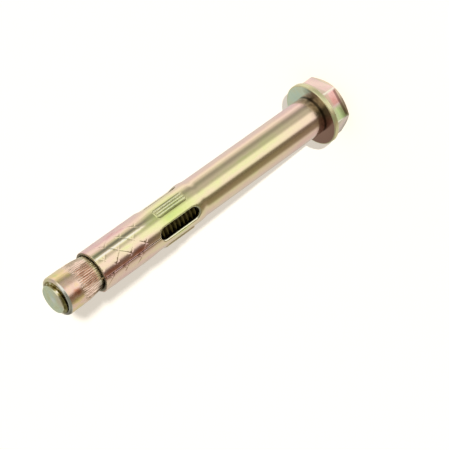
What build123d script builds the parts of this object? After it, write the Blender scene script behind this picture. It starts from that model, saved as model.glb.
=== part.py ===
"""Hex-head sleeve anchor: a fully threaded hex bolt, a flat washer, a rolled expansion sleeve
and a knurled cone nut, all on one axis.

Units are millimetres. The anchor stands on its hex head: the origin is the centre of the head's
flat end, and +Z runs along the bolt towards the nose.
"""

from build123d import *
import math
import os

# Bolt
THREAD_MAJOR = 9.9
THREAD_PITCH = 1.5
PITCH_DIAMETER_DROP = 0.6495
BOLT_LENGTH = 101.6
HEAD_ACROSS_FLATS = 16.0
HEAD_HEIGHT = 6.0
HEAD_CHAMFER_ANGLE = 30.0
HEAD_FACE_INSET = 0.4
HEAD_TURN = -8.0
COLLAR_INSET = 0.7
COLLAR_HEIGHT = 0.4
UNDERHEAD_FILLET = 0.25
TIP_CHAMFER_LENGTH = 0.35
TIP_CHAMFER_DEPTH = 0.3

# Washer
WASHER_DIAMETER = 19.6
WASHER_THICKNESS = 1.5
WASHER_BORE_CLEARANCE = 0.3
WASHER_EDGE_CHAMFER = 0.2

# Expansion sleeve, stamped from sheet and rolled to a tube
SLEEVE_WALL = 0.85
SLEEVE_BORE_CLEARANCE = 0.1
SLEEVE_LENGTH = 86.1
SLEEVE_AXIAL_PLAY = 0.05
SHELL_STEP = 0.32
SHELL_STEP_LENGTH = 2.5
STEP_FROM_SLOT = 1.0
MOUTH_CHAMFER = 0.3
SLOT_COUNT = 3
SLOT_LENGTH = 14.5
SLOT_WIDTH = 4.0
SLOT_FROM_MOUTH = 28.3
SLIT_WIDTH = 0.25
SEAM_WIDTH = 0.35
LUG_LENGTH = 11.0
LUG_WIDTH = 3.3
LUG_CORNER = 0.8
LUG_RISE = 0.35
LUG_DRAFT = 35.0

# Cone nut
CONE_HALF_ANGLE = 7.0
CONE_SEAT_CLEARANCE = 0.08
CONE_DRAW_IN = 0.6
NUT_SHOWING = 12.7
NUT_IN_SLEEVE = 3.0
NUT_COUNTERSINK = 0.5
NUT_NOSE_RIM = 0.1
NUT_THREAD_CLEARANCE = 0.05
KNURL_COUNT = 56
KNURL_SMOOTH_BAND = 5.0
KNURL_ROOT_WALL = 0.2
KNURL_HALF_ANGLE = 45.0

# Thread radii: bolt and nut meet at the pitch diameter, so both are plain there
pitch_radius = (THREAD_MAJOR - PITCH_DIAMETER_DROP * THREAD_PITCH) / 2

# Radii of what goes round the bolt
washer_bore_radius = THREAD_MAJOR / 2 + WASHER_BORE_CLEARANCE
tube_bore_radius = THREAD_MAJOR / 2 + SLEEVE_BORE_CLEARANCE
tube_radius = tube_bore_radius + SLEEVE_WALL
shell_radius = tube_radius + SHELL_STEP
nut_radius = tube_radius
nut_bore_radius = pitch_radius + NUT_THREAD_CLEARANCE

# Stations along the axis, from the head's flat end to the nose
washer_start = HEAD_HEIGHT
sleeve_start = washer_start + WASHER_THICKNESS + SLEEVE_AXIAL_PLAY
mouth = sleeve_start + SLEEVE_LENGTH
slot_centre = mouth - SLOT_FROM_MOUTH
step_end = slot_centre - SLOT_LENGTH / 2 - STEP_FROM_SLOT
step_start = step_end - SHELL_STEP_LENGTH
nose = mouth + NUT_SHOWING
nut_inner_end = mouth - NUT_IN_SLEEVE
bolt_tip = HEAD_HEIGHT + BOLT_LENGTH

# The cone meets the sleeve at the inner edge of the mouth's chamfer, after it is drawn in
cone_slope = math.tan(math.radians(CONE_HALF_ANGLE))
seat_station = mouth - MOUTH_CHAMFER
seat_radius = shell_radius - SLEEVE_WALL - CONE_SEAT_CLEARANCE - CONE_DRAW_IN * cone_slope
cone_start = seat_station + (nut_radius - seat_radius) / cone_slope
cone_end_radius = nut_radius - (cone_start - nut_inner_end) * cone_slope

# Slots share one pitch circle, each lug lies midway between two slots, the seam is on a slot
slot_angles = [360 / SLOT_COUNT * i for i in range(SLOT_COUNT)]
lug_angles = [angle + 180 / SLOT_COUNT for angle in slot_angles]
seam_angle = slot_angles[1]


def turned(points):
    """Solid of revolution about Z, from (radius, station) points in order round half a section."""
    outline = Polyline(*[(radius, 0, station) for radius, station in points], close=True)
    return revolve(make_face(outline), Axis.Z)


def disc(radius, start, thickness):
    """Round disc on the axis."""
    return Pos(0, 0, start) * Cylinder(radius, thickness, align=(Align.CENTER, Align.CENTER, Align.MIN))


def radial_plane(angle, station, radius=0.0):
    """Plane that faces outwards at an angle round the axis, with its X along the axis."""
    outward = Vector(1, 0, 0).rotate(Axis.Z, angle)
    return Plane(outward * radius + Vector(0, 0, station), x_dir=(0, 0, 1), z_dir=outward)


def make_bolt():
    """Hex bolt: chamfered head, bearing collar, threaded rod with a chamfered tip."""
    face_radius = HEAD_ACROSS_FLATS / 2 - HEAD_FACE_INSET
    corner_radius = HEAD_ACROSS_FLATS / math.sqrt(3)
    chamfer_depth = (corner_radius - face_radius) * math.tan(math.radians(HEAD_CHAMFER_ANGLE))
    collar_start = HEAD_HEIGHT - COLLAR_HEIGHT
    hexagon = Rot(0, 0, HEAD_TURN) * extrude(RegularPolygon(corner_radius, 6), collar_start)
    chamfered = turned([
        (0, 0),
        (face_radius, 0),
        (corner_radius, chamfer_depth),
        (corner_radius, collar_start),
        (0, collar_start),
    ])
    collar = disc(HEAD_ACROSS_FLATS / 2 - COLLAR_INSET, collar_start, COLLAR_HEIGHT)
    rod = turned([
        (0, collar_start),
        (pitch_radius + UNDERHEAD_FILLET, collar_start),
        (pitch_radius + UNDERHEAD_FILLET, HEAD_HEIGHT),
        (pitch_radius, HEAD_HEIGHT + UNDERHEAD_FILLET),
        (pitch_radius, bolt_tip - TIP_CHAMFER_LENGTH),
        (pitch_radius - TIP_CHAMFER_DEPTH, bolt_tip),
        (0, bolt_tip),
    ])
    return (hexagon & chamfered) + collar + rod


def make_washer():
    """Punched flat washer with its outer edges broken."""
    blank = disc(WASHER_DIAMETER / 2, washer_start, WASHER_THICKNESS)
    blank = chamfer(blank.edges().filter_by(GeomType.CIRCLE), WASHER_EDGE_CHAMFER)
    return blank - disc(washer_bore_radius, washer_start, WASHER_THICKNESS)


def sleeve_wall_side(depth):
    """Edges along the wall, from the washer end to the mouth, at a depth below its outside."""
    tube = tube_radius - depth
    shell = shell_radius - depth
    middle = (step_start + step_end) / 2
    return [
        Line((tube, 0, sleeve_start), (tube, 0, step_start)),
        Bezier((tube, 0, step_start), (tube, 0, middle), (shell, 0, middle), (shell, 0, step_end)),
        Line((shell, 0, step_end), (shell, 0, mouth)),
    ]


def rolled_tube():
    """Plain tube, an outward step just before the slots, and a wider shell as far as the mouth."""
    outer = sleeve_wall_side(0)
    inner = sleeve_wall_side(SLEEVE_WALL)
    washer_end = Line(inner[0] @ 0, outer[0] @ 0)
    mouth_end = Line(inner[-1] @ 1, outer[-1] @ 1)
    tube = revolve(make_face([*outer, *inner, washer_end, mouth_end]), Axis.Z)
    mouth_edges = tube.edges().filter_by(GeomType.CIRCLE).group_by(Axis.Z)[-1]
    return chamfer(mouth_edges.sort_by(SortBy.RADIUS)[0], MOUTH_CHAMFER)


def lug(angle, skin_radius):
    """Pressed-out rounded rectangle with drafted sides, standing on a skin of the given radius."""
    top_radius = skin_radius + LUG_RISE
    base = math.sqrt(skin_radius**2 - (LUG_WIDTH / 2)**2)
    outline = radial_plane(angle, slot_centre, base) * RectangleRounded(LUG_LENGTH, LUG_WIDTH, LUG_CORNER)
    pressed = extrude(outline, top_radius - base, taper=LUG_DRAFT)
    return pressed & disc(top_radius, slot_centre - LUG_LENGTH, 2 * LUG_LENGTH)


def cut_along(angle, start, end, width):
    """Radial knife cut through one side of the wall, between two stations."""
    plane = radial_plane(angle, (start + end) / 2)
    return extrude(plane * Rectangle(end - start, width), 2 * shell_radius)


def make_sleeve():
    """Expansion sleeve: the tube with its slots, slits to the mouth, lugs and rolled seam."""
    sleeve = rolled_tube()
    for angle in lug_angles:
        sleeve += lug(angle, shell_radius)
        sleeve -= lug(angle, shell_radius - SLEEVE_WALL)
    for angle in slot_angles:
        window = radial_plane(angle, slot_centre) * SlotOverall(SLOT_LENGTH, SLOT_WIDTH)
        sleeve -= extrude(window, 2 * shell_radius)
        sleeve -= cut_along(angle, slot_centre, mouth + SLIT_WIDTH, SLIT_WIDTH)
    return sleeve - cut_along(seam_angle, sleeve_start - SEAM_WIDTH, mouth + SEAM_WIDTH, SEAM_WIDTH)


def knurl_groove():
    """V groove whose root climbs from the thin end of the cone to the skin at the smooth band."""
    run_out = nose - KNURL_SMOOTH_BAND
    root_radius = nut_bore_radius + KNURL_ROOT_WALL
    climb = Vector(nut_radius - root_radius, 0, run_out - nut_inner_end)
    height = 2 * (nut_radius - root_radius)
    half_width = height * math.tan(math.radians(KNURL_HALF_ANGLE))
    section = Polyline((0, 0), (height, half_width), (height, -half_width), close=True)
    start = Vector(root_radius, 0, nut_inner_end) - climb * 0.1
    return extrude(Pos(start) * make_face(section), climb.length * 1.2, dir=climb.normalized())


def make_cone_nut():
    """Cone nut: round nose, smooth band, and a knurled cone whose thin end sits in the mouth."""
    blank = turned([
        (nut_bore_radius, nut_inner_end),
        (cone_end_radius, nut_inner_end),
        (nut_radius, cone_start),
        (nut_radius, nose),
        (nut_bore_radius + NUT_COUNTERSINK, nose),
        (nut_bore_radius, nose - NUT_COUNTERSINK),
    ])
    nose_edges = blank.edges().filter_by(GeomType.CIRCLE).group_by(Axis.Z)[-1]
    nose_radius = nut_radius - nut_bore_radius - NUT_COUNTERSINK - NUT_NOSE_RIM
    blank = fillet(nose_edges.sort_by(SortBy.RADIUS)[-1], nose_radius)
    groove = knurl_groove()
    return blank - [Rot(0, 0, 360 / KNURL_COUNT * i) * groove for i in range(KNURL_COUNT)]


pieces = {
    "hex_bolt": make_bolt(),
    "flat_washer": make_washer(),
    "expansion_sleeve": make_sleeve(),
    "cone_nut": make_cone_nut(),
}

os.makedirs("parts", exist_ok=True)
for name, piece in pieces.items():
    export_step(piece, f"parts/{name}.step")
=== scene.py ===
"""Looks of a hex-head sleeve anchor in yellow-passivated zinc: a bolt, a flat washer, a rolled
expansion sleeve and a knurled cone nut.

The frame is in metres. The anchor stands on its hex head, and +Z runs from the head to the nose.
Sizes below are in millimetres and are turned to metres where a mesh is made.
"""

import math

import bmesh
import bpy
from mathutils import Matrix, Vector, geometry, noise

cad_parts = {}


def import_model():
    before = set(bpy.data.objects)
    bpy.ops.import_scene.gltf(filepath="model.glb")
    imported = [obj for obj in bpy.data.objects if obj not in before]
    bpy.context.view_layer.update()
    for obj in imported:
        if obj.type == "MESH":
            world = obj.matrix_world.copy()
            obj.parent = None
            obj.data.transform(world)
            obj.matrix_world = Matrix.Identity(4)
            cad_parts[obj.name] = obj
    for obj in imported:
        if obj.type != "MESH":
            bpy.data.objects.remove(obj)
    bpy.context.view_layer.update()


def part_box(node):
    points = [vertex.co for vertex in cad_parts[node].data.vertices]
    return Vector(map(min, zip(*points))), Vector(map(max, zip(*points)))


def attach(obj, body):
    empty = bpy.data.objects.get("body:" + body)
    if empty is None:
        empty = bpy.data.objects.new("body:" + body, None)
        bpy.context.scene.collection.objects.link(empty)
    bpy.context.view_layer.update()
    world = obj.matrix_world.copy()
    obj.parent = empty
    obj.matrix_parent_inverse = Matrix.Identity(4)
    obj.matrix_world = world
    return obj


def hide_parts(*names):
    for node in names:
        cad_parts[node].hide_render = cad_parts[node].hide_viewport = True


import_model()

MM = 0.001
TAU = 2 * math.pi


def box_mm(node):
    """Lowest and highest corner of a node, in millimetres."""
    low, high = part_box(node)
    return low / MM, high / MM


bolt_high = box_mm("hex_bolt")[1]
washer_low, washer_high = box_mm("flat_washer")
sleeve_low, sleeve_high = box_mm("expansion_sleeve")
nut_low, nut_high = box_mm("cone_nut")

# Stations along the axis, read from the frame
HEAD_TOP = washer_low.z
TIP = bolt_high.z
SLEEVE_START = sleeve_low.z
MOUTH = sleeve_high.z
NUT_END = nut_low.z
NOSE = nut_high.z

# Bolt
ACROSS_FLATS = 16.0
HEAD_TURN = math.radians(-8)
HEAD_FACE_INSET = 0.4
HEAD_CHAMFER = math.radians(30)
HEAD_EDGE = 0.22
COLLAR_HEIGHT = 0.4
COLLAR_INSET = 0.7
THREAD_MAJOR = 9.9
THREAD_PITCH = 1.5
THREAD_DEPTH = 0.785
THREAD_RUN_OUT = 2.5
CORE_RADIUS = 4.463
TIP_RADIUS = 4.163
TIP_SLOPE = 0.857

# Washer
WASHER_BORE = 5.25
WASHER_ROUNDS = (0.1, 0.12, 0.3, 0.15)

# Sleeve
WALL = 0.85
TUBE_RADIUS = 5.9
SHELL_RADIUS = 6.22
SLOT_LENGTH = 14.5
SLOT_CENTRE = MOUTH - 28.3
SLOT_START = SLOT_CENTRE - SLOT_LENGTH / 2
STEP_END = SLOT_START - 1.0
STEP_START = STEP_END - 2.5
SLOT_WIDTH = 4.0
SLIT_WIDTH = 0.25
SEAM_WIDTH = 0.35
STRAIGHT_CUT_END = 0.8
STRAIGHT_CUT_FADE = 0.4
SEAM_ANGLE = math.radians(120)
LEGS = 3
LUG_LENGTH = 11.0
LUG_WIDTH = 3.3
LUG_CORNER = 0.8
LUG_RISE = 0.35
LUG_SHOULDER = 0.3
LUG_RIB_PITCH = 0.8
LUG_RIB_HEIGHT = 0.2
RIDGE_HEIGHT = 0.27
RIDGE_STEEP = 0.45
RIDGE_GENTLE = 1.8
RIDGE_OFF_CENTRE = -0.2
RIDGE_START = 1.0
RIDGE_FADE = 6.0
EDGE_ROLL = 0.08
EDGE_ROLL_WIDTH = 0.25
SLOT_ROLL = 0.38
SLOT_ROLL_WIDTH = 0.42

# Stamped diamond pattern of the sleeve's legs
DIAMOND_ROWS = 14
DIAMOND_PITCH = 5.35
DIAMOND_STATION = NOSE - 15.03
DIAMOND_ANGLE = math.radians(280.2)
DIAMOND_END = NOSE - 30.4
GROOVE_WIDTH = 0.34
GROOVE_DEPTH = 0.07
GROOVE_FADE = 1.5

# The stamped lines climb half a pitch per row of diamonds, either way: in millimetres per radian, and
# the cosine of their angle on the sheet
LINE_SLOPE = DIAMOND_PITCH / 2 / (TAU / DIAMOND_ROWS)
LINE_SLANT = math.cos(math.atan(LINE_SLOPE / SHELL_RADIUS))

# How finely the flat sheet is divided along its rolled edges, its lines, its lugs and its rows
ROLL_ROWS = (0.06, 0.12, 0.19, 0.27, 0.35, SLOT_ROLL_WIDTH)
LINES_EACH_WAY = 40
LINE_STEPS = 180
LINE_MARGIN = 0.15
LUG_INSETS = (-0.05, 0, 0.1, 0.2, 0.3, 0.4)
LUG_SPACING = 0.6
LUG_GRID_ACROSS = 0.1
LUG_GRID_ALONG = 0.56
SHEET_COLUMNS = 160
ROW_SPACING = 0.75
STEP_ROW_SPACING = 0.3
OUTLINE_SPACING = 0.7
SLOT_END_STEPS = 14

# Cone nut
NUT_RADIUS = 5.9
NUT_BORE = 4.513
NUT_COUNTERSINK = 0.5
NOSE_ROUND = 0.77
CONE_START = MOUTH + 5.27
CONE_END_RADIUS = 4.885
CONE_SLOPE = (NUT_RADIUS - CONE_END_RADIUS) / (CONE_START - NUT_END)
KNURL_COUNT = 56
KNURL_BAND = 5.0
KNURL_END = NOSE - KNURL_BAND
KNURL_ROOT_RADIUS = 4.713
KNURL_UNEVEN = 0.24
KNURL_SEED = 4.0
KNURL_COLUMNS = 8
KNURL_ROWS = 30

# Steps round the turned forms, the angles from which an edge is sharp or bevelled, and how near points
# are welded
HEAD_STEPS = 192
COLLAR_STEPS = 96
WASHER_STEPS = 160
THREAD_STEPS = 64
ROUND_STEPS = 5
SHARP_ANGLE = math.radians(35)
BEVELLED_ANGLE = math.radians(20)
WELD = 0.001
CUT_WELD = 0.002
THREAD_WELD = 0.003

# Camera: where it stands round the anchor, where it looks, how it is rolled
CAMERA_ANGLE = math.radians(275.0)
CAMERA_DISTANCE = 494.0
CAMERA_HEIGHT = 318.75
LOOK_ANGLE = math.radians(96.279)
LOOK_DOWN = math.radians(28.386)
CAMERA_ROLL = math.radians(-126.227)
FOCAL_PIXELS = 2000
PHOTO_PIXELS = 450
SENSOR_WIDTH = 36

# Distant key lamp: where it stands round the anchor and above the table, how wide it looks, and its
# strength
KEY_ANGLE = math.radians(277.0)
KEY_HEIGHT = math.radians(24.2)
KEY_SPREAD = math.radians(0.8)
KEY_STRENGTH = 4.4
TABLE_GLOW = 0.27


def linear(colour):
    """Linear RGBA of an sRGB hex colour."""
    parts = [int(colour[i:i + 2], 16) / 255 for i in (1, 3, 5)]
    return (*[p / 12.92 if p <= 0.04045 else ((p + 0.055) / 1.055) ** 2.4 for p in parts], 1.0)


def add(tree, kind, inputs=None, **settings):
    """Adds a node with its settings, and links or sets its inputs."""
    node = tree.nodes.new(kind)
    for name, value in settings.items():
        setattr(node, name, value)
    for key, value in (inputs or {}).items():
        if isinstance(value, bpy.types.NodeSocket):
            tree.links.new(value, node.inputs[key])
        else:
            node.inputs[key].default_value = value
    return node


def put(kind, inputs, **settings):
    """First output of a node that is added to the tree its linked inputs come from."""
    tree = next(value.id_data for value in inputs.values() if isinstance(value, bpy.types.NodeSocket))
    return add(tree, kind, inputs, **settings).outputs[0]


def math_node(operation, *values):
    """Result of an operation on sockets and plain numbers."""
    return put("ShaderNodeMath", dict(enumerate(values)), operation=operation)


def polar(radius, angle, station):
    """Point at a radius and an angle from the axis, and at a station along it."""
    return (radius * math.cos(angle), radius * math.sin(angle), station)


def new_object(name, data):
    """Object at the origin, linked into the scene."""
    made = bpy.data.objects.new(name, data)
    bpy.context.scene.collection.objects.link(made)
    return made


def raw_mesh(name, vertices, faces):
    """Mesh in metres from points in millimetres."""
    mesh = bpy.data.meshes.new(name)
    mesh.from_pydata([Vector(v) * MM for v in vertices], [], faces)
    return mesh


def opened(mesh):
    """The mesh as a bmesh to work on."""
    work = bmesh.new()
    work.from_mesh(mesh)
    return work


def mesh_from(name, vertices, faces):
    """Welded mesh from points in millimetres, with its faces pointing outwards."""
    mesh = raw_mesh(name, vertices, faces)
    finish_mesh(opened(mesh), mesh)
    return mesh


def finish_mesh(work, mesh):
    """Welds a bmesh, turns its faces outwards, shades it smooth between sharp edges and stores it."""
    bmesh.ops.remove_doubles(work, verts=work.verts, dist=WELD * MM)
    bmesh.ops.dissolve_degenerate(work, edges=work.edges, dist=WELD / 2 * MM)
    bmesh.ops.recalc_face_normals(work, faces=work.faces)
    for face in work.faces:
        face.smooth = True
    work.to_mesh(mesh)
    work.free()
    mesh.set_sharp_from_angle(angle=SHARP_ANGLE)


def lathe(section, steps, closed=False):
    """Points and faces of a section of (radius, station) points turned about the axis."""
    vertices = []
    rings = []
    for radius, station in section:
        count = 1 if radius < 1e-6 else steps
        rings.append([len(vertices) + i for i in range(count)])
        vertices += [polar(radius, TAU * i / steps, station) for i in range(count)]
    faces = []
    pairs = list(zip(rings, rings[1:])) + ([(rings[-1], rings[0])] if closed else [])
    for low, high in pairs:
        for i in range(steps):
            j = (i + 1) % steps
            corners = [low[i % len(low)], low[j % len(low)], high[j % len(high)], high[i % len(high)]]
            faces.append(list(dict.fromkeys(corners)))
    return vertices, faces


def rounded(corners):
    """Section with each (radius, station, round) corner replaced by an arc-like curve."""
    points = []
    centre_pull = math.sqrt(0.5)
    count = len(corners)
    for i, (radius, station, curve) in enumerate(corners):
        here = Vector((radius, station))
        if not curve:
            points.append((radius, station))
            continue
        before = (Vector(corners[i - 1][:2]) - here).normalized() * curve
        after = (Vector(corners[(i + 1) % count][:2]) - here).normalized() * curve
        for k in range(ROUND_STEPS + 1):
            t = k / ROUND_STEPS
            weights = ((1 - t) ** 2, 2 * t * (1 - t) * centre_pull, t ** 2)
            point = here + (before * weights[0] + after * weights[2]) / sum(weights)
            points.append((point.x, point.y))
    return points


def place(name, mesh, body, node, material):
    """Shows a finished mesh in place of a CAD node and gives it its body and material."""
    piece = new_object(name, mesh)
    mesh.materials.clear()
    mesh.materials.append(material)
    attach(piece, body)
    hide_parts(node)


def join(name, *meshes):
    """One mesh made of several closed ones."""
    work = bmesh.new()
    for mesh in meshes:
        work.from_mesh(mesh)
    joined = bpy.data.meshes.new(name)
    work.to_mesh(joined)
    work.free()
    joined.set_sharp_from_angle(angle=SHARP_ANGLE)
    return joined


def run_tree(name, mesh, tree, values):
    """Mesh that a Geometry Nodes tree makes of a mesh, with its named inputs set."""
    carrier = new_object(name, mesh)
    modifier = carrier.modifiers.new(name, "NODES")
    modifier.node_group = tree
    identifiers = {s.name: s.identifier for s in tree.interface.items_tree if s.item_type == "SOCKET"}
    for key, value in values.items():
        modifier[identifiers[key]] = value
    depsgraph = bpy.context.evaluated_depsgraph_get()
    depsgraph.update()
    made = bpy.data.meshes.new_from_object(carrier.evaluated_get(depsgraph))
    bpy.data.objects.remove(carrier)
    return made


def new_tree(name, count, *numbers):
    """Geometry Nodes tree with a geometry input, a named count and named number inputs."""
    tree = bpy.data.node_groups.new(name, "GeometryNodeTree")
    kinds = {"Geometry": "Geometry", count: "Int", **{label: "Float" for label in numbers}}
    for label, kind in kinds.items():
        tree.interface.new_socket(label, in_out="INPUT", socket_type="NodeSocket" + kind)
    tree.interface.new_socket("Geometry", in_out="OUTPUT", socket_type="NodeSocketGeometry")
    return tree, tree.nodes.new("NodeGroupInput").outputs


def end_tree(tree, geometry_socket, material):
    """Closes a tree with Realize Instances, a weld and Set Material."""
    real = put("GeometryNodeRealizeInstances", {"Geometry": geometry_socket})
    weld = put("GeometryNodeMergeByDistance", {"Geometry": real, "Distance": CUT_WELD * MM})
    plated = put("GeometryNodeSetMaterial", {"Geometry": weld, "Material": material})
    tree.links.new(plated, tree.nodes.new("NodeGroupOutput").inputs[0])


def ramp_node(value, stops):
    """Colour ramp from (position, hex colour) stops."""
    ramp = add(value.id_data, "ShaderNodeValToRGB", {"Fac": value})
    elements = ramp.color_ramp.elements
    while len(elements) < len(stops):
        elements.new(1.0)
    for element, (where, colour) in zip(elements, stops):
        element.position = where
        element.color = linear(colour)
    return ramp.outputs[0]


def noise_node(vector, scale, detail):
    """Noise with a mean of one half; the scale is in features per metre, so 1000 / millimetres."""
    return put("ShaderNodeTexNoise", {"Vector": vector, "Scale": scale, "Detail": detail})


def mix_colour(factor, one, other):
    """The first colour where the factor is nought and the other where it is one."""
    return add(factor.id_data, "ShaderNodeMix", {0: factor, 6: one, 7: other}, data_type="RGBA").outputs[2]


def map_range(value, from_low, from_high, to_low=0.0, to_high=1.0, kind="SMOOTHSTEP"):
    """Blend from one value to another between two places, which may come in either order."""
    limits = {"From Min": from_low, "From Max": from_high, "To Min": to_low, "To Max": to_high}
    return put("ShaderNodeMapRange", {"Value": value, **limits}, interpolation_type=kind)


def times(first, *others):
    """Product of a socket with more sockets and plain numbers."""
    for other in others:
        first = math_node("MULTIPLY", first, other)
    return first


def total(*terms):
    """Sum of (weight, socket) terms and plain numbers."""
    result = sum(term for term in terms if not isinstance(term, tuple))
    for weight, socket in (term for term in terms if isinstance(term, tuple)):
        result = math_node("MULTIPLY_ADD", socket, weight, result)
    return result


def share_of_turn(axes):
    """Share of a full turn round Z at which a separated vector points, from 0 to 1."""
    angle = math_node("ARCTAN2", axes["Y"], axes["X"])
    return math_node("FRACT", math_node("DIVIDE", angle, TAU))


def bump_at(value, middle, half_width):
    """One at the middle, and nothing beyond the half width on both sides."""
    return map_range(math_node("ABSOLUTE", math_node("SUBTRACT", value, middle)), half_width, 0.0)


def facing(turn, middle, lobes=1):
    """Cosine that is one at the middle, in degrees, and comes back so many times round the axis."""
    return math_node("COSINE", total((math.radians(lobes), turn), -math.radians(lobes * middle)))


def coats(colour, *layers):
    """Lays (mask, hex colour, strength) coats over a colour, one over the other."""
    for mask, shade, strength in layers:
        colour = mix_colour(times(mask, strength), colour, linear(shade))
    return colour


def film_noise(spot, scale, stretch=1.0, detail=3.0):
    """Uneven film thickness, from about -1 to 1: blotches, or streaks drawn out along the axis."""
    drawn = put("ShaderNodeMapping", {"Vector": spot, "Scale": (1.0, 1.0, stretch)})
    return map_range(noise_node(drawn, scale, detail), 0.25, 0.75, -1.0, 1.0, "LINEAR")


def zinc(name):
    """Yellow-passivated zinc: electroplated, then dipped in chromate, so a clear film of uneven
    thickness lies on bright metal and shines cream, pink, gold and lime. Comes with the point on the
    piece, degrees round the axis, the radius and the station."""
    material = bpy.data.materials.new(name)
    material.use_nodes = True
    tree = material.node_tree
    tree.nodes["Principled BSDF"].inputs["Metallic"].default_value = 1.0
    spot = add(tree, "ShaderNodeTexCoord").outputs["Object"]
    axes = add(tree, "ShaderNodeSeparateXYZ", {0: spot}).outputs
    turn = times(share_of_turn(axes), 360.0)
    across = math_node("MULTIPLY_ADD", axes["Y"], axes["Y"], times(axes["X"], axes["X"]))
    radius = math_node("DIVIDE", math_node("SQRT", across), MM)
    return material, spot, turn, radius, math_node("DIVIDE", axes["Z"], MM)


def finish(colour, spot, roughness, *changes, spread=0.06):
    """Gives the metal its colour and a slightly uneven gloss, changed by (weight, mask) terms."""
    shader = colour.id_data.nodes["Principled BSDF"]
    uneven = total(roughness - spread, (2 * spread, noise_node(spot, 1400.0, 4.0)), *changes)
    colour.id_data.links.new(colour, shader.inputs["Base Color"])
    colour.id_data.links.new(uneven, shader.inputs["Roughness"])


# A chromate film shines in these colours, from where it is thinnest to where it is thickest
SHEET_FILM = [(0.0, "#CE6A52"), (0.12, "#E9A394"), (0.24, "#F6CAC3"), (0.36, "#FAD9C8"), (0.48, "#FBE0C4"),
              (0.6, "#FBE8C1"), (0.74, "#F3F1B2"), (0.87, "#E0EC92"), (1.0, "#C4DE98")]
NUT_FILM = [(0.0, "#DB9075"), (0.14, "#EBAB8C"), (0.28, "#F7CCB8"), (0.4, "#FBD9C4"), (0.52, "#FBDDB0"),
            (0.66, "#F7E1A2"), (0.82, "#DDE29C"), (1.0, "#B4D0A0")]
HEAD_FILM = [(0.0, "#E08C7C"), (0.15, "#F0AFA2"), (0.35, "#FFDAD2"), (0.55, "#F6E6C8"), (0.75, "#E4F4B4"),
             (1.0, "#C6EA9C")]
WASHER_FACE = [(0.0, "#F3EBC6"), (0.5, "#EAF3D8"), (1.0, "#DCF0E4")]
WASHER_RIM = [(0.0, "#F2D3A8"), (0.5, "#F4EDBE"), (1.0, "#E9F0BC")]
TIP_FACE = [(0.0, "#E3DFAE"), (0.45, "#EEF0C8"), (1.0, "#DDE8D2")]
TIP_BEVEL = [(0.0, "#766A38"), (0.5, "#A4965A"), (0.72, "#D6CA94"), (1.0, "#FFF6DC")]
# Painted shade: bores and the sleeve's inside take this darker colour
SHADED_BORE = "#7C6C46"

# Zones of the finish and of painted highlights and shade, in degrees round the axis: the middle alone, or
# with the half width
SHEET_LIME_SIDE = 273
SHEET_COPPERY = (246, 21)
SHEET_ROSY = (324, 22)
SHEET_PAINTED_SHADE_LINE = (301, 7.5)
SHEET_PAINTED_HIGHLIGHT_LINE = (293.5, 4)
NUT_LIME_SIDE = 350
NUT_COPPERY = (253, 14)
NUT_GOLDEN = (234, 13)
NUT_PAINTED_SHEEN = (273, 18)
NUT_MOUTH_SHADOW = (210, 38)
RIM_BRIGHT_SIDE = 345
RIM_SHADED_SIDE = 170
WASHER_SHADE_MIDDLE = 212
WASHER_SHADE_RAGGEDNESS = 8.0
TIP_WARM_SIDE = (252, 75)
TIP_GLINT = (289, 9)

# Fades of the finish and of the washer's painted shade round the axis, in degrees: where each starts
# and where it is full; the painted shade's is counted from its middle
WASHER_SHADE_FADE = (122, 98)
WASHER_SHADE_GREENER = (238, 262)
HEAD_GREEN_START = (229, 236)
HEAD_GREEN_END = (266, 252)
HEAD_ROSY_START = (258, 268)
FLANK_START = (233, 237)
FLANK_END = (291, 287)


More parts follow.
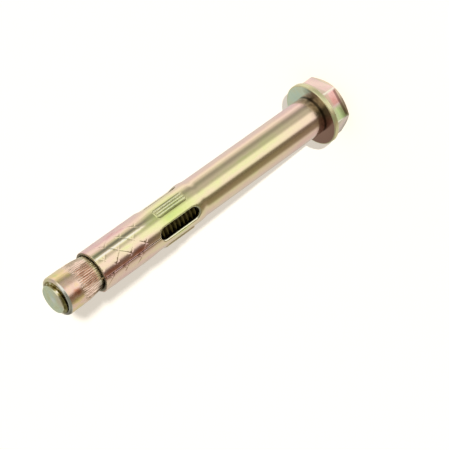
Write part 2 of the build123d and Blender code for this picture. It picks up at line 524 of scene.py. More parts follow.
def sheet_zinc():
    """Plated steel sheet: streaks run along the drawn tube, the film is lime round the stampings and
    coppery near the mouth, and the inside is rougher and painted darker as shade. Painted shade and
    highlights also mark lines near the mouth, the lugs' ribs, the slot's cut wall, the joint at the
    washer and the mouth's end face."""
    material, spot, turn, radius, station = zinc("yellow_passivated_zinc_sheet")
    from_washer = math_node("SUBTRACT", station, SLEEVE_START)
    from_mouth = math_node("SUBTRACT", MOUTH, station)
    height = math_node("SUBTRACT", radius, SHELL_RADIUS)
    stamped = bump_at(station, SLOT_CENTRE, 11.0)
    near_mouth = map_range(from_mouth, 24, 11)
    coppery = times(near_mouth, bump_at(turn, *SHEET_COPPERY))
    rosy = times(near_mouth, bump_at(turn, *SHEET_ROSY))
    peach = map_range(from_washer, 22, 4)
    streaks = film_noise(spot, 420.0, 0.06, 4.0)
    blotches = film_noise(spot, 260.0)
    wild = times(film_noise(spot, 700.0, 0.25), near_mouth)
    thickness = total(0.5, (0.13, facing(turn, SHEET_LIME_SIDE, 2)), (0.24, stamped), (-0.02, near_mouth),
                      (-0.46, coppery), (-0.14, rosy), (-0.14, peach), (0.12, streaks), (0.07, blotches),
                      (0.13, wild))
    # Painted shade: a grey line along the sleeve near the mouth
    painted_shade_line = times(bump_at(turn, *SHEET_PAINTED_SHADE_LINE), near_mouth)
    # Painted highlight: a white line along the sleeve near the mouth
    painted_highlight_line = times(bump_at(turn, *SHEET_PAINTED_HIGHLIGHT_LINE), near_mouth)
    mottle = map_range(noise_node(spot, 1100.0, 4.0), 0.3, 0.7, 0.25, 0.8)
    tarnish = times(map_range(from_washer, 4.2, 0.4), mottle)
    # Painted shade: a dark ring where the tube meets the washer
    washer_joint_shade = map_range(from_washer, 0.65, 0.2)
    on_lug = times(map_range(height, 0.04, 0.09), bump_at(station, SLOT_CENTRE, LUG_LENGTH))
    # Painted shade in the valleys of the lugs' ribs and on their outlines, and a painted highlight on their
    # crests
    shaded_valley = times(on_lug, map_range(height, 0.29, 0.17))
    crest = times(on_lug, map_range(height, 0.27, 0.33))
    # Painted highlight: the slot's cut wall is made pale near the slot's lower end
    highlit_cut_wall = times(map_range(height, -0.1, -0.16), map_range(station, SLOT_START - 0.3, SLOT_START))
    # The sleeve's inside is painted darker as shade, and made rougher
    bore_depth = math_node("SUBTRACT", SHELL_RADIUS - WALL + 0.08, radius)
    inside = times(map_range(bore_depth, -0.03, 0.03), map_range(from_mouth, 0.1, 0.3))
    # Painted shade: the mouth's end face is darkened, most on its inner part
    end_face = map_range(from_mouth, 0.12, 0.05)
    shaded_lip = times(end_face, map_range(height, -0.08, -0.2))
    shaded_inner_lip = times(end_face, map_range(height, -0.6, -0.72))
    colour = coats(ramp_node(thickness, SHEET_FILM), (painted_shade_line, "#8C9080", 0.6),
                   (painted_highlight_line, "#FFFFFA", 0.6), (tarnish, "#7A6650", 1), (washer_joint_shade, "#3E3428", 0.75),
                   (shaded_valley, "#8A8664", 0.8), (crest, "#FDFBE6", 0.8), (highlit_cut_wall, "#FBF6DC", 0.7),
                   (inside, SHADED_BORE, 1), (shaded_lip, "#85755C", 0.7), (shaded_inner_lip, "#6A5C46", 1))
    finish(colour, spot, 0.19, (0.3, inside), (0.4, end_face))
    return material


def nut_zinc():
    """Plated turned steel: gold and green blotches on the smooth band, brown roots in the knurl, a
    painted shadow at the sleeve's mouth, a creamier film as a painted highlight on one side, a nose rim
    that is worn pale and painted dark as shade on one side, and a bore painted darker as shade."""
    material, spot, turn, radius, station = zinc("yellow_passivated_zinc_nut")
    from_nose = math_node("SUBTRACT", NOSE, station)
    from_mouth = math_node("SUBTRACT", station, MOUTH)
    knurled = map_range(from_nose, KNURL_BAND - 0.5, KNURL_BAND + 1.0)
    coppery = times(bump_at(turn, *NUT_COPPERY), total(1.0, (-0.6, knurled)))
    golden = times(bump_at(turn, *NUT_GOLDEN), total(1.0, (-1.0, knurled)))
    by_mouth = map_range(from_mouth, 2.0, 0.6)
    blotches = film_noise(spot, 330.0)
    streaks = film_noise(spot, 500.0, 0.15)
    # Painted highlight: the film is made creamier on the side where the highlight falls
    thickness = total(0.47, (0.14, facing(turn, NUT_LIME_SIDE, 2)), (-0.13, coppery), (-0.08, knurled),
                      (0.1, by_mouth), (0.1, bump_at(turn, *NUT_PAINTED_SHEEN)), (0.2, golden), (0.24, blotches),
                      (0.12, streaks))
    cone = total((CONE_SLOPE, station), CONE_END_RADIUS - CONE_SLOPE * NUT_END)
    depth = math_node("SUBTRACT", math_node("MINIMUM", cone, NUT_RADIUS), radius)
    root = times(map_range(depth, 0.2, 0.4), knurled, map_range(from_mouth, 0.5, 2.5, 0.1, 0.7))
    # Painted shadow in the gap where the nut enters the sleeve's mouth, on one side
    mouth_shadow = times(bump_at(turn, *NUT_MOUTH_SHADOW), map_range(from_mouth, 3.8, 1.2))
    on_rim = map_range(from_nose, NOSE_ROUND, 0.8 * NOSE_ROUND)
    worn_rim = times(on_rim, map_range(facing(turn, RIM_BRIGHT_SIDE), 0.9, 0.5, 0.25, 1.0))
    # Painted shade: one side of the nose rim is darkened
    shaded_rim = times(on_rim, map_range(facing(turn, RIM_SHADED_SIDE), 0.6, 0.95))
    # Painted shade: the nut's bore is darkened
    bore = map_range(radius, NUT_BORE + 0.207, NUT_BORE + 0.087)
    colour = coats(ramp_node(thickness, NUT_FILM), (knurled, "#FFE2CC", 0.8), (root, "#9C6450", 1),
                   (by_mouth, "#F2F4CC", 0.7), (mouth_shadow, "#3E2A20", 0.85), (worn_rim, "#EAE8DA", 1),
                   (shaded_rim, "#7A6858", 0.75), (bore, SHADED_BORE, 1))
    finish(colour, spot, 0.25)
    return material


def washer_zinc():
    """Plated punched steel: a bluish-green face with a painted brown reflection of shade on one side and a
    pale rim.
    """
    material, spot, turn, radius, station = zinc("yellow_passivated_zinc_washer")
    from_rim = math_node("SUBTRACT", washer_high.x, radius)
    from_face = math_node("SUBTRACT", washer_high.z, station)
    face = times(map_range(from_rim, 0.2, 0.45), map_range(from_face, 0.3, 0.1))
    blotches = film_noise(spot, 300.0)
    pale = ramp_node(total(0.5, (0.35, blotches)), WASHER_FACE)
    rim = ramp_node(total(0.5, (0.4, blotches)), WASHER_RIM)
    # Painted reflection of shade: a brown patch on one side of the washer's face
    off_shade = math_node("ABSOLUTE", total(-WASHER_SHADE_MIDDLE, (1.0, turn), (WASHER_SHADE_RAGGEDNESS, blotches)))
    brown = mix_colour(map_range(turn, *WASHER_SHADE_GREENER), linear("#A47C6A"), linear("#958C72"))
    colour = mix_colour(face, rim, mix_colour(map_range(off_shade, *WASHER_SHADE_FADE), pale, brown))
    finish(colour, spot, 0.42, (-0.25, face), spread=0.04)
    return material


def head_colour(spot, turn, station):
    """The head: a flank from pink to green, worn pale edges and a brown end rim."""
    green = times(map_range(turn, *HEAD_GREEN_END), map_range(turn, *HEAD_GREEN_START, 0.1, 1.0))
    flank = times(map_range(turn, *FLANK_END), map_range(turn, *FLANK_START))
    rosy = times(flank, map_range(turn, *HEAD_ROSY_START))
    film = total(0.36, (0.45, green), (-0.17, rosy), (0.11, film_noise(spot, 240.0)))
    sixth = math_node("FRACT", total((1 / 60, turn), 0.5 - math.degrees(HEAD_TURN) / 60))
    end_rim = times(map_range(station, 2.2, 1.8), flank)
    return coats(ramp_node(film, HEAD_FILM), (end_rim, "#8E6656", 0.75),
                 (map_range(station, 1.35, 1.0), "#F0DCBE", 0.85),
                 (map_range(station, 3.7, 4.5), "#CFC8A6", 0.55), (bump_at(sixth, 0.5, 0.045), "#FDF6E0", 1))


def tip_colour(spot, turn, radius, from_tip):
    """The bolt's end: a centre painted pale as a highlight, a warm side, and a speckled bevel with one
    painted glint.
    """
    warm_side = times(bump_at(turn, *TIP_WARM_SIDE), map_range(radius, 0.8, 2.8))
    # Painted highlight: a glint on the bevel
    glint = times(bump_at(turn, *TIP_GLINT), bump_at(radius, 4.55, 0.3))
    # Painted highlight: the centre of the end face is made pale
    face = coats(ramp_node(total(0.5, (0.5, film_noise(spot, 500.0))), TIP_FACE),
                 (map_range(radius, 1.6, 0.2), "#FAFAF0", 0.7), (warm_side, "#E6CDAE", 0.7))
    bevel = coats(ramp_node(total(0.5, (0.5, film_noise(spot, 900.0))), TIP_BEVEL), (glint, "#FFF8E4", 1))
    return mix_colour(map_range(from_tip, 0.12, 0.3), face, bevel)


def bolt_zinc():
    """Plated forged steel: pink and green flanks on the head, a rough thread painted dark as shade, a
    grey-green tip.
    """
    material, spot, turn, radius, station = zinc("yellow_passivated_zinc_bolt")
    from_tip = math_node("SUBTRACT", TIP, station)
    past_thread = map_range(from_tip, 1.7, 1.3)
    in_thread = map_range(math_node("SUBTRACT", station, HEAD_TOP), -0.1, 0.1)
    # Painted shade: the thread is dark, darkest in its roots and lighter towards the tip
    crest = mix_colour(map_range(from_tip, 3, 1.5), linear("#7C7044"), linear("#B5AA6E"))
    thread = mix_colour(map_range(radius, 4.45, 4.9), linear("#5A4E2C"), crest)
    rod = mix_colour(past_thread, thread, tip_colour(spot, turn, radius, from_tip))
    colour = mix_colour(in_thread, head_colour(spot, turn, station), rod)
    dull = times(in_thread, math_node("SUBTRACT", 1.0, past_thread))
    finish(colour, spot, 0.22, (0.2, dull))
    return material


plated_sleeve = sheet_zinc()
plated_nut = nut_zinc()
plated_washer = washer_zinc()
plated_bolt = bolt_zinc()


def hex_head():
    """Chamfered hexagon: a turned blank cut by six flats, with its edges broken."""
    apothem = ACROSS_FLATS / 2
    corner = ACROSS_FLATS / math.sqrt(3)
    face_radius = apothem - HEAD_FACE_INSET
    chamfer = (corner - face_radius) * math.tan(HEAD_CHAMFER)
    top = HEAD_TOP - COLLAR_HEIGHT
    points, faces = lathe([(0, 0), (face_radius, 0), (corner, chamfer), (corner, top), (0, top)], HEAD_STEPS)
    mesh = mesh_from("hex_head", points, faces)
    work = opened(mesh)
    for i in range(6):
        angle = HEAD_TURN + TAU * (i + 0.5) / 6
        outward = Vector(polar(1, angle, 0))
        parts = work.verts[:] + work.edges[:] + work.faces[:]
        cut = bmesh.ops.bisect_plane(work, geom=parts, plane_co=outward * apothem * MM, plane_no=outward,
                                     clear_outer=True)["geom_cut"]
        rim = [part for part in cut if isinstance(part, bmesh.types.BMEdge)]
        bmesh.ops.edgeloop_fill(work, edges=rim)
    bmesh.ops.remove_doubles(work, verts=work.verts, dist=CUT_WELD * MM)
    edges = [e for e in work.edges if len(e.link_faces) == 2 and e.calc_face_angle() > BEVELLED_ANGLE]
    bmesh.ops.bevel(work, geom=edges, offset=HEAD_EDGE * MM, segments=3, profile=0.5, affect="EDGES",
                    clamp_overlap=True)
    finish_mesh(work, mesh)
    return mesh


def collar_and_shank():
    """Bearing collar under the head and the plain stretch before the thread."""
    collar_radius = ACROSS_FLATS / 2 - COLLAR_INSET
    overlap = 0.2
    low = HEAD_TOP - COLLAR_HEIGHT - overlap
    collar = rounded([(0, low, 0), (collar_radius, low, 0), (collar_radius, HEAD_TOP, 0.1), (0, HEAD_TOP, 0)])
    start = HEAD_TOP - overlap
    end = HEAD_TOP + THREAD_PITCH + overlap / 2
    shank = [(0, start), (CORE_RADIUS, start), (CORE_RADIUS, end), (0, end)]
    return mesh_from("collar", *lathe(collar, COLLAR_STEPS)), mesh_from("shank", *lathe(shank, COLLAR_STEPS))


def thread_turn():
    """One turn of the thread, a strip whose upper edge is the lower edge of the next turn."""
    crest = THREAD_MAJOR / 2
    root = crest - THREAD_DEPTH
    profile = [(0, root), (0.19, root), (0.25, root + 0.04), (0.53, crest - 0.05), (0.58, crest),
               (0.66, crest), (0.71, crest - 0.05), (0.97, root + 0.04), (1, root)]
    vertices = []
    for i in range(THREAD_STEPS + 1):
        share = i / THREAD_STEPS
        vertices += [polar(radius, TAU * share, THREAD_PITCH * (share + rise)) for rise, radius in profile]
    width = len(profile)
    faces = [[i * width + j, (i + 1) * width + j, (i + 1) * width + j + 1, i * width + j + 1]
             for i in range(THREAD_STEPS) for j in range(width - 1)]
    return raw_mesh("thread_turn", vertices, faces)


def thread_tree(material):
    """Stacks turns of thread along the bolt, fades them in at the head and chamfers them at the tip."""
    tree, given = new_tree("bolt_thread", "Turns", "Pitch", "Start", "Tip", "Core Radius", "Tip Radius",
                           "Tip Slope", "Run Out")
    first = put("ShaderNodeCombineXYZ", {"Z": math_node("SUBTRACT", given["Start"], given["Pitch"])})
    rise = put("ShaderNodeCombineXYZ", {"Z": given["Pitch"]})
    line = put("GeometryNodeMeshLine", {"Count": given["Turns"], "Start Location": first, "Offset": rise})
    turns = put("GeometryNodeInstanceOnPoints", {"Points": line, "Instance": given["Geometry"]})
    real = put("GeometryNodeRealizeInstances", {"Geometry": turns})
    spot = add(tree, "ShaderNodeSeparateXYZ", {0: add(tree, "GeometryNodeInputPosition").outputs[0]}).outputs
    flat = put("ShaderNodeCombineXYZ", {"X": spot["X"], "Y": spot["Y"]})
    radius = add(tree, "ShaderNodeVectorMath", {0: flat}, operation="LENGTH").outputs["Value"]
    station = put("ShaderNodeClamp", {"Value": spot["Z"], "Min": given["Start"], "Max": given["Tip"]})
    full = math_node("ADD", given["Start"], given["Run Out"])
    fade = map_range(station, given["Start"], full)
    depth = math_node("SUBTRACT", radius, given["Core Radius"])
    cut = math_node("MULTIPLY_ADD", depth, fade, given["Core Radius"])
    behind = math_node("SUBTRACT", given["Tip"], station)
    chamfer = math_node("MULTIPLY_ADD", behind, given["Tip Slope"], given["Tip Radius"])
    kept = math_node("MINIMUM", cut, chamfer)
    share = math_node("DIVIDE", kept, radius)
    across = {axis: times(spot[axis], share) for axis in ("X", "Y")}
    moved = put("ShaderNodeCombineXYZ", {**across, "Z": station})
    end_tree(tree, put("GeometryNodeSetPosition", {"Geometry": real, "Position": moved}), material)
    return tree


def threaded_rod(material):
    """The bolt's thread as one closed mesh."""
    start = HEAD_TOP + THREAD_PITCH
    turns = math.ceil((TIP - start) / THREAD_PITCH) + 2
    mesh = run_tree("thread", thread_turn(), thread_tree(material), {
        "Pitch": THREAD_PITCH * MM, "Turns": turns, "Start": start * MM, "Tip": TIP * MM,
        "Core Radius": CORE_RADIUS * MM, "Tip Radius": TIP_RADIUS * MM, "Tip Slope": TIP_SLOPE,
        "Run Out": THREAD_RUN_OUT * MM})
    work = opened(mesh)
    bmesh.ops.remove_doubles(work, verts=work.verts, dist=THREAD_WELD * MM)
    open_edges = [e for e in work.edges if len(e.link_faces) == 1]
    bmesh.ops.holes_fill(work, edges=open_edges, sides=0)
    finish_mesh(work, mesh)
    return mesh


def washer():
    """Punched washer: the punch rounds one rim and leaves the other crisp."""
    low, high = washer_low.z, washer_high.z
    outer = washer_high.x
    corners = ((WASHER_BORE, low), (outer, low), (outer, high), (WASHER_BORE, high))
    section = rounded([(*corner, curve) for corner, curve in zip(corners, WASHER_ROUNDS)])
    return mesh_from("flat_washer", *lathe(section, WASHER_STEPS, closed=True))


def distance_to_slot(angle, station, centre):
    """How far a point of the rolled sheet lies outside a slot's outline."""
    across = (angle - centre) * SHELL_RADIUS
    along = max(abs(station - SLOT_CENTRE) - (SLOT_LENGTH - SLOT_WIDTH) / 2, 0)
    half = math.asin(SLOT_WIDTH / 2 / SHELL_RADIUS) * SHELL_RADIUS
    return math.hypot(across, along) - half


def edge_distance(angle, station):
    """How far inside the metal a point of the flat sheet lies, from its nearest cut edge."""
    distances = [station - SLEEVE_START, MOUTH - station]
    for i in range(LEGS + 1):
        centre = TAU * i / LEGS
        distances.append(distance_to_slot(angle, station, centre))
        half_gap = SEAM_WIDTH / 2 if i in (0, LEGS) else SLIT_WIDTH / 2
        if station > SLOT_CENTRE or i in (0, LEGS):
            distances.append(abs(angle - centre) * SHELL_RADIUS - half_gap)
    return min(distances)


def slot_side(centre, side, low_gap, high_gap):
    """Points up one side of a slot, from its lower end to its upper end."""
    radius = SLOT_WIDTH / 2
    points = []
    for middle, gap, end in ((SLOT_START + radius, low_gap, -1),
                             (SLOT_CENTRE + SLOT_LENGTH / 2 - radius, high_gap, 1)):
        first = math.asin(gap / radius)
        turns = [first + (math.pi / 2 - first) * k / SLOT_END_STEPS for k in range(SLOT_END_STEPS + 1)]
        if end > 0:
            turns.reverse()
        for turn in turns:
            across = math.asin(radius * math.sin(turn) / SHELL_RADIUS)
            points.append((centre + side * across, middle + end * radius * math.cos(turn)))
    return points


def split(points, spacing):
    """A closed outline with its long edges divided evenly."""
    made = []
    for (a0, z0), (a1, z1) in zip(points, points[1:] + points[:1]):
        length = math.hypot((a1 - a0) * SHELL_RADIUS, z1 - z0)
        pieces = max(1, math.ceil(length / spacing))
        made += [(a0 + (a1 - a0) * k / pieces, z0 + (z1 - z0) * k / pieces) for k in range(pieces)]
    return made


def sheet_outline():
    """Outline of the sheet laid flat, as (angle from the seam, station), anticlockwise."""
    seam_gap = SEAM_WIDTH / 2
    slit_gap = SLIT_WIDTH / 2
    seam = seam_gap / SHELL_RADIUS
    slit = slit_gap / SHELL_RADIUS
    points = [(seam, SLEEVE_START), (TAU - seam, SLEEVE_START)]
    points += slot_side(TAU, -1, seam_gap, seam_gap)
    points += [(TAU - seam, MOUTH)]
    for i in (2, 1):
        centre = TAU * i / LEGS
        points += [(centre + slit, MOUTH)]
        points += slot_side(centre, 1, 0, slit_gap)[::-1]
        points += slot_side(centre, -1, 0, slit_gap)[1:]
        points += [(centre - slit, MOUTH)]
    points += [(seam, MOUTH)]
    points += slot_side(0, 1, seam_gap, seam_gap)[::-1]
    return split(points, OUTLINE_SPACING)


def smooth(share):
    """Smooth rise of a share that is held between 0 and 1."""
    share = min(max(share, 0), 1)
    return share * share * (3 - 2 * share)


def rounded_box_distance(across, along, width, length, corner):
    """Signed distance to a rounded rectangle, negative inside."""
    x = abs(across) - (width / 2 - corner)
    y = abs(along) - (length / 2 - corner)
    return math.hypot(max(x, 0), max(y, 0)) + min(max(x, y), 0) - corner


def lug_rise(angle, station):
    """How far the pressed lug nearest to a point stands out there."""
    rise = 0
    for i in range(LEGS):
        across = (angle - TAU * (i + 0.5) / LEGS) * SHELL_RADIUS
        inside = -rounded_box_distance(across, station - SLOT_CENTRE, LUG_WIDTH, LUG_LENGTH, LUG_CORNER)
        rib = LUG_RIB_HEIGHT * (0.5 + 0.5 * math.cos(TAU * across / LUG_RIB_PITCH + math.pi))
        rise = max(rise, (LUG_RISE - rib) * smooth(inside / LUG_SHOULDER))
    return rise


def leg_ridge(angle, station):
    """Low ridge down the middle of each leg, from its lug to the mouth, steep on one side."""
    height = 0
    for i in range(LEGS):
        across = (angle - TAU * (i + 0.5) / LEGS) * SHELL_RADIUS - RIDGE_OFF_CENTRE
        across /= RIDGE_GENTLE if across > 0 else RIDGE_STEEP
        height += math.exp(-across * across / 2)
    from_lug = station - SLOT_CENTRE - LUG_LENGTH / 2
    return RIDGE_HEIGHT * height * smooth((from_lug - RIDGE_START) / RIDGE_FADE)


def wall_offset(station):
    """Outside radius of the tube, the step and the wider shell."""
    share = (station - STEP_START) / (STEP_END - STEP_START)
    return TUBE_RADIUS + (SHELL_RADIUS - TUBE_RADIUS) * smooth(share)


def line_offsets(angle, station):
    """Where a point lies between stamped lines of either direction, in line spacings from the nearest."""
    local = (angle + SEAM_ANGLE - DIAMOND_ANGLE) * LINE_SLOPE
    return [((station - DIAMOND_STATION + way * local) / DIAMOND_PITCH + 0.5) % 1 - 0.5 for way in (1, -1)]


def groove_depth(angle, station):
    """Depth of the stamped diamond pattern, which fades out towards the slots."""
    fade = min(max((station - DIAMOND_END) / GROOVE_FADE, 0), 1)
    near = min(abs(offset) for offset in line_offsets(angle, station)) * DIAMOND_PITCH * LINE_SLANT
    # Patches a few millimetres wide, in which the lines are pressed deeper or are worn away
    wear = 0.62 + 1.1 * noise.noise(Vector((angle * 2.6, station * 0.42, 7.3)))
    return GROOVE_DEPTH * fade * min(max(wear, 0.15), 1.3) * max(0, 1 - near / (GROOVE_WIDTH / 2))


def outer_radius(angle, station):
    """Outside of the sleeve at a point of the flat sheet."""
    edge = max(0, 1 - edge_distance(angle, station) / EDGE_ROLL_WIDTH) if station > STEP_START else 0
    from_slot = min(distance_to_slot(angle, station, TAU * i / LEGS) for i in range(LEGS + 1))
    punched = max(0, 1 - max(from_slot, 0) / SLOT_ROLL_WIDTH)
    pressed = lug_rise(angle, station) + leg_ridge(angle, station) - groove_depth(angle, station)
    return wall_offset(station) + pressed - max(EDGE_ROLL * edge * edge, SLOT_ROLL * punched * punched)


def inner_angle(angle):
    """Angle of the point inside the wall: near a slot, in radians, the cut goes straight in."""
    centre = TAU / LEGS * round(angle / (TAU / LEGS))
    off = angle - centre
    straight = math.asin(min(max(math.sin(off) * SHELL_RADIUS / (SHELL_RADIUS - WALL), -1), 1))
    near_slot = min(max((STRAIGHT_CUT_END - abs(off)) / STRAIGHT_CUT_FADE, 0), 1)
    return centre + off + (straight - off) * near_slot


def stamped_lines():
    """Pairs of points that run along the stamped lines, both sides and the middle of each."""
    lines = []
    for way in (1, -1):
        for k in range(-LINES_EACH_WAY, LINES_EACH_WAY):
            for side in (-0.5, 0, 0.5):
                previous = None
                for i in range(LINE_STEPS + 1):
                    angle = TAU * i / LINE_STEPS
                    local = (angle + SEAM_ANGLE - DIAMOND_ANGLE) * LINE_SLOPE
                    station = DIAMOND_STATION - way * local + DIAMOND_PITCH * k
                    station += side * GROOVE_WIDTH / LINE_SLANT
                    here = (angle, station)
                    inside = DIAMOND_END < station < MOUTH and edge_distance(*here) > LINE_MARGIN
                    if inside and previous:
                        lines.append((previous, here))
                    previous = here if inside else None
    return lines


def rows_along_cuts(outline):
    """Points inside the sheet's cut edges, in rows at growing distances from them."""
    points = []
    for step in ROLL_ROWS:
        for a, z in outline:
            gradient = Vector((edge_distance(a + 1e-4, z) - edge_distance(a - 1e-4, z),
                               edge_distance(a, z + 6e-4) - edge_distance(a, z - 6e-4)))
            if gradient.length < 1e-9:
                continue
            point = Vector((a * SHELL_RADIUS, z)) + gradient.normalized() * step
            if edge_distance(point.x / SHELL_RADIUS, point.y) > step * 0.7:
                points.append(point)
    return points


def lug_ring(inset):
    """Closed rounded rectangle inside a lug's edge by the inset, about the lug's centre."""
    width = LUG_WIDTH / 2 - inset
    length = LUG_LENGTH / 2 - inset
    corner = max(LUG_CORNER - inset, 0.2)
    ring = []
    for quarter, (x, y) in enumerate(((1, 1), (-1, 1), (-1, -1), (1, -1))):
        for k in range(7):
            turn = TAU / 4 * (quarter + k / 6)
            ring.append(Vector((x * (width - corner) + corner * math.cos(turn),
                                y * (length - corner) + corner * math.sin(turn))))
    dense = []
    for a, b in zip(ring, ring[1:] + ring[:1]):
        pieces = max(1, math.ceil((b - a).length / LUG_SPACING))
        dense += [a.lerp(b, k / pieces) for k in range(pieces)]
    return dense


def even_rows():
    """Points in even rows over the sheet, closer together along the step."""
    points = []
    station = SLEEVE_START + 0.4
    while station < MOUTH - 0.3:
        for i in range(SHEET_COLUMNS + 1):
            angle = TAU * i / SHEET_COLUMNS
            if edge_distance(angle, station) > 0.3:
                points.append(Vector((angle * SHELL_RADIUS, station)))
        on_step = STEP_START - 0.2 < station < STEP_END + 0.2
        station += STEP_ROW_SPACING if on_step else ROW_SPACING
    return points


def flat_sheet():
    """Fine triangulation of the sheet laid flat, with edges along its stampings."""
    outline = sheet_outline()
    points = [Vector((a * SHELL_RADIUS, z)) for a, z in outline]
    points += rows_along_cuts(outline)
    edges = []
    for start, end in stamped_lines():
        edges.append((len(points), len(points) + 1))
        points += [Vector((start[0] * SHELL_RADIUS, start[1])), Vector((end[0] * SHELL_RADIUS, end[1]))]
    for i in range(LEGS):
        centre = Vector((TAU * (i + 0.5) / LEGS * SHELL_RADIUS, SLOT_CENTRE))
        for inset in LUG_INSETS:
            ring = lug_ring(inset)
            first = len(points)
            points += [centre + p for p in ring]
            edges += [(first + k, first + (k + 1) % len(ring)) for k in range(len(ring))]
        points += [centre + Vector((across * LUG_GRID_ACROSS, along * LUG_GRID_ALONG))
                   for across in range(-15, 16) for along in range(-9, 10)]
    points += even_rows()
    made = geometry.delaunay_2d_cdt(points, edges, [list(range(len(outline)))], 1, 1e-4)
    return made[0], made[2]


def sleeve():
    """The flat sheet given its stampings and its wall, and rolled to a tube."""
    flat, triangles = flat_sheet()
    count = len(flat)
    vertices = []
    for inner in (False, True):
        for p in flat:
            angle = p.x / SHELL_RADIUS
            radius = outer_radius(angle, p.y)
            if inner:
                radius = wall_offset(p.y) - WALL + lug_rise(angle, p.y)
                angle = inner_angle(angle)
            vertices.append(polar(radius, SEAM_ANGLE + angle, p.y))
    faces = [list(t) for t in triangles] + [[v + count for v in reversed(t)] for t in triangles]
    directed = {(a, b) for t in triangles for a, b in zip(t, list(t[1:]) + [t[0]])}
    for t in triangles:
        for a, b in zip(t, list(t[1:]) + [t[0]]):
            if (b, a) not in directed:
                faces.append([b, a, a + count, b + count])
    return mesh_from("expansion_sleeve", vertices, faces)


def knurl_sector():
    """One knurl pitch of the nut's closed section, its groove in the middle."""
    pitch = TAU / KNURL_COUNT
    rows = [(NUT_END, NUT_BORE, None)]
    for k in range(KNURL_ROWS + 1):
        station = NUT_END + (KNURL_END - NUT_END) * k / KNURL_ROWS
        skin = min(NUT_RADIUS, CONE_END_RADIUS + CONE_SLOPE * (station - NUT_END))
        root = KNURL_ROOT_RADIUS + (NUT_RADIUS - KNURL_ROOT_RADIUS) * k / KNURL_ROWS
        rows.append((station, skin, root))
    for k in range(7):
        turn = TAU / 4 * k / 6
        rows.append((NOSE - NOSE_ROUND + NOSE_ROUND * math.sin(turn),
                     NUT_RADIUS - NOSE_ROUND + NOSE_ROUND * math.cos(turn), None))
    rows += [(NOSE, NUT_BORE + NUT_COUNTERSINK, None), (NOSE - NUT_COUNTERSINK, NUT_BORE, None)]
    vertices = []
    depths = []
    for station, skin, root in rows:
        along = 0 if root is None else (station - NUT_END) / (KNURL_END - NUT_END)
        for i in range(KNURL_COLUMNS + 1):
            share = i / KNURL_COLUMNS - 0.5
            radius = skin if root is None else min(skin, root + abs(share) * pitch * skin)
            vertices.append(polar(radius, share * pitch, station))
            depths.append(min(12 * along * (1 - along), 1))
    width = KNURL_COLUMNS + 1
    count = len(rows)
    faces = []
    for j in range(count):
        for i in range(KNURL_COLUMNS):
            low = j * width + i
            high = (j + 1) % count * width + i
            faces.append([low, low + 1, high + 1, high])
    mesh = raw_mesh("knurl_sector", vertices, faces)
    mesh.attributes.new("pressed", "FLOAT", "POINT").data.foreach_set("value", depths)
    return mesh


def knurl_tree(material):
    """Turns copies of one knurl pitch round the axis, and makes some grooves deeper than others."""
    tree, given = new_tree("nut_knurl", "Count", "Unevenness", "Seed")
    line = put("GeometryNodeMeshLine", {"Count": given["Count"], "Offset": (0, 0, 0)})
    step = math_node("DIVIDE", TAU, given["Count"])
    turn = math_node("MULTIPLY", add(tree, "GeometryNodeInputIndex").outputs[0], step)
    rotation = put("ShaderNodeCombineXYZ", {"Z": turn})
    copies = {"Points": line, "Instance": given["Geometry"], "Rotation": rotation}
    real = put("GeometryNodeRealizeInstances", {"Geometry": put("GeometryNodeInstanceOnPoints", copies)})
    spot = add(tree, "GeometryNodeInputPosition").outputs[0]
    drawn = put("ShaderNodeVectorMath", {0: spot, 1: (1.0, 1.0, 0.18)}, operation="MULTIPLY")
    grain = {"Vector": drawn, "Scale": 900.0, "W": given["Seed"], "Detail": 2.0}
    uneven = put("ShaderNodeTexNoise", grain, noise_dimensions="4D")
    pressed = add(tree, "GeometryNodeInputNamedAttribute", {"Name": "pressed"}, data_type="FLOAT").outputs[0]
    spread = map_range(uneven, 0.3, 0.7, kind="LINEAR")
    lower = times(spread, pressed, given["Unevenness"], -1.0)
    flat = put("ShaderNodeVectorMath", {0: spot, 1: (1.0, 1.0, 0.0)}, operation="MULTIPLY")
    outward = put("ShaderNodeVectorMath", {0: flat}, operation="NORMALIZE")
    move = put("ShaderNodeVectorMath", {0: outward, "Scale": lower}, operation="SCALE")
    end_tree(tree, put("GeometryNodeSetPosition", {"Geometry": real, "Offset": move}), material)
    return tree


def cone_nut(material):
    """The knurled cone nut as one closed mesh."""
    values = {"Count": KNURL_COUNT, "Unevenness": KNURL_UNEVEN * MM, "Seed": KNURL_SEED}
    mesh = run_tree("knurl", knurl_sector(), knurl_tree(material), values)
    finish_mesh(opened(mesh), mesh)
    return mesh


rod = threaded_rod(plated_bolt)
whole_bolt = join("hex_bolt", hex_head(), *collar_and_shank(), rod)
place("hex_bolt_plated", whole_bolt, "bolt", "hex_bolt", plated_bolt)
place("flat_washer_plated", washer(), "washer", "flat_washer", plated_washer)
place("expansion_sleeve_plated", sleeve(), "sleeve", "expansion_sleeve", plated_sleeve)
place("cone_nut_plated", cone_nut(plated_nut), "nut", "cone_nut", plated_nut)


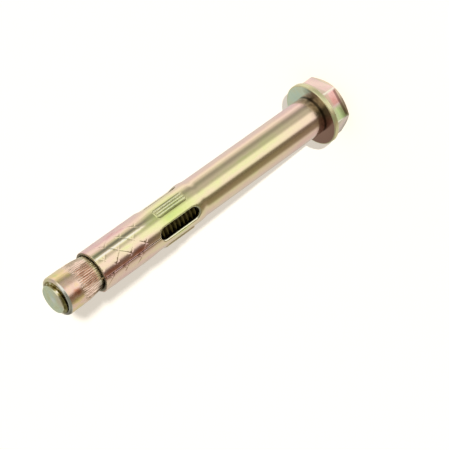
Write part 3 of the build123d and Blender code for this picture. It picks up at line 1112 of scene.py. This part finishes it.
def white_floor():
    """Matt white table top, lifted to plain white where the camera sees it."""
    reach = 4.0 / MM
    corners = [(-reach, -reach, 0), (reach, -reach, 0), (reach, reach, 0), (-reach, reach, 0)]
    mesh = raw_mesh("floor", corners, [(0, 1, 2, 3)])
    floor = new_object("floor", mesh)
    material = bpy.data.materials.new("matt_white_table")
    material.use_nodes = True
    tree = material.node_tree
    shader = tree.nodes["Principled BSDF"]
    shader.inputs["Base Color"].default_value = linear("#F4EEE4")
    shader.inputs["Roughness"].default_value = 0.9
    shader.inputs["Specular IOR Level"].default_value = 0.0
    path = add(tree, "ShaderNodeLightPath").outputs
    seen = math_node("MAXIMUM", path["Is Camera Ray"], path["Is Transmission Ray"])
    glow = put("ShaderNodeEmission", {"Color": linear("#FFF6E8"), "Strength": times(seen, TABLE_GLOW)})
    both = put("ShaderNodeAddShader", {0: shader.outputs[0], 1: glow})
    tree.links.new(both, tree.nodes["Material Output"].inputs["Surface"])
    mesh.materials.append(material)
    floor.visible_glossy = False


# What the bright metal mirrors, by degrees round the axis: a pale table with a brown card and a grey
# one on it, and above it a grey room with one white soft box
TABLE = [(0, "#F2F0EC"), (8, "#FFFFFF"), (17, "#FAF8F4"), (27, "#E6E6E7"), (60, "#E0E0E0"), (95, "#CFCFC8"),
         (120, "#C6C7BF"), (150, "#D5D5CE"), (184, "#D6D5CC"), (194, "#A09A86"), (200, "#8B8571"),
         (218, "#857C66"), (228, "#6F685A"), (240, "#776F60"), (246, "#EEEDEA"), (252, "#FFFFFF"),
         (284, "#FFFFFF"), (291, "#CFCFC9"), (297, "#B9BAB3"), (312, "#C2C5BD"), (322, "#A9ACA4"),
         (333, "#959892"), (343, "#A5A7A1"), (352, "#DCDAD6")]
ROOM = [(0, "#B9B9B6"), (70, "#C9CCCA"), (95, "#BCC0BC"), (130, "#96978F"), (200, "#87887F"),
        (262, "#86877F"), (276, "#B4B4AC"), (284, "#FFFFFF"), (336, "#FFFFFF"), (348, "#B9B9B6"),
        (360, "#B9B9B6")]


def world():
    """Studio round the anchor: plain white to the camera, pale grey light on matt surfaces, and the
    table below and the room above to the mirror-like metal."""
    surroundings = bpy.data.worlds.new("studio")
    bpy.context.scene.world = surroundings
    surroundings.use_nodes = True
    tree = surroundings.node_tree
    way = add(tree, "ShaderNodeTexCoord").outputs["Generated"]
    axes = add(tree, "ShaderNodeSeparateXYZ", {0: way}).outputs
    turn = share_of_turn(axes)
    table = ramp_node(turn, [(where / 360, colour) for where, colour in TABLE])
    room = ramp_node(turn, [(where / 360, colour) for where, colour in ROOM])
    mirrored = mix_colour(map_range(axes["Z"], -0.1, 0.1), table, room)
    path = add(tree, "ShaderNodeLightPath").outputs
    plain = mix_colour(path["Is Camera Ray"], linear("#B5B2AE"), linear("#FFFFFF"))
    seen = mix_colour(path["Is Glossy Ray"], plain, mirrored)
    tree.links.new(seen, tree.nodes["Background"].inputs["Color"])


def key_lamp():
    """Distant lamp over the table that lights the matt surfaces and the fine relief."""
    data = bpy.data.lights.new("key_lamp", "SUN")
    data.angle = KEY_SPREAD
    data.energy = KEY_STRENGTH
    lamp = new_object("key_lamp", data)
    lamp.rotation_mode = "QUATERNION"
    towards = Vector(polar(math.cos(KEY_HEIGHT), KEY_ANGLE, math.sin(KEY_HEIGHT)))
    lamp.rotation_quaternion = towards.to_track_quat("Z", "Y")
    lamp.visible_glossy = False


def camera():
    """Camera at the photograph's viewing angle."""
    data = bpy.data.cameras.new("camera")
    data.sensor_width = SENSOR_WIDTH
    data.lens = FOCAL_PIXELS / PHOTO_PIXELS * SENSOR_WIDTH
    data.clip_start = 0.01
    eye = new_object("camera", data)
    look = Vector(polar(math.cos(LOOK_DOWN), LOOK_ANGLE, -math.sin(LOOK_DOWN)))
    right = look.cross(Vector((0, 0, 1))).normalized()
    up = right.cross(look)
    turned_right = right * math.cos(CAMERA_ROLL) + up * math.sin(CAMERA_ROLL)
    turned_up = up * math.cos(CAMERA_ROLL) - right * math.sin(CAMERA_ROLL)
    matrix = Matrix((turned_right, turned_up, -look)).transposed().to_4x4()
    matrix.translation = Vector(polar(CAMERA_DISTANCE, CAMERA_ANGLE, CAMERA_HEIGHT)) * MM
    eye.matrix_world = matrix
    bpy.context.scene.camera = eye


white_floor()
world()
key_lamp()
camera()
bpy.context.scene.view_settings.view_transform = "Standard"
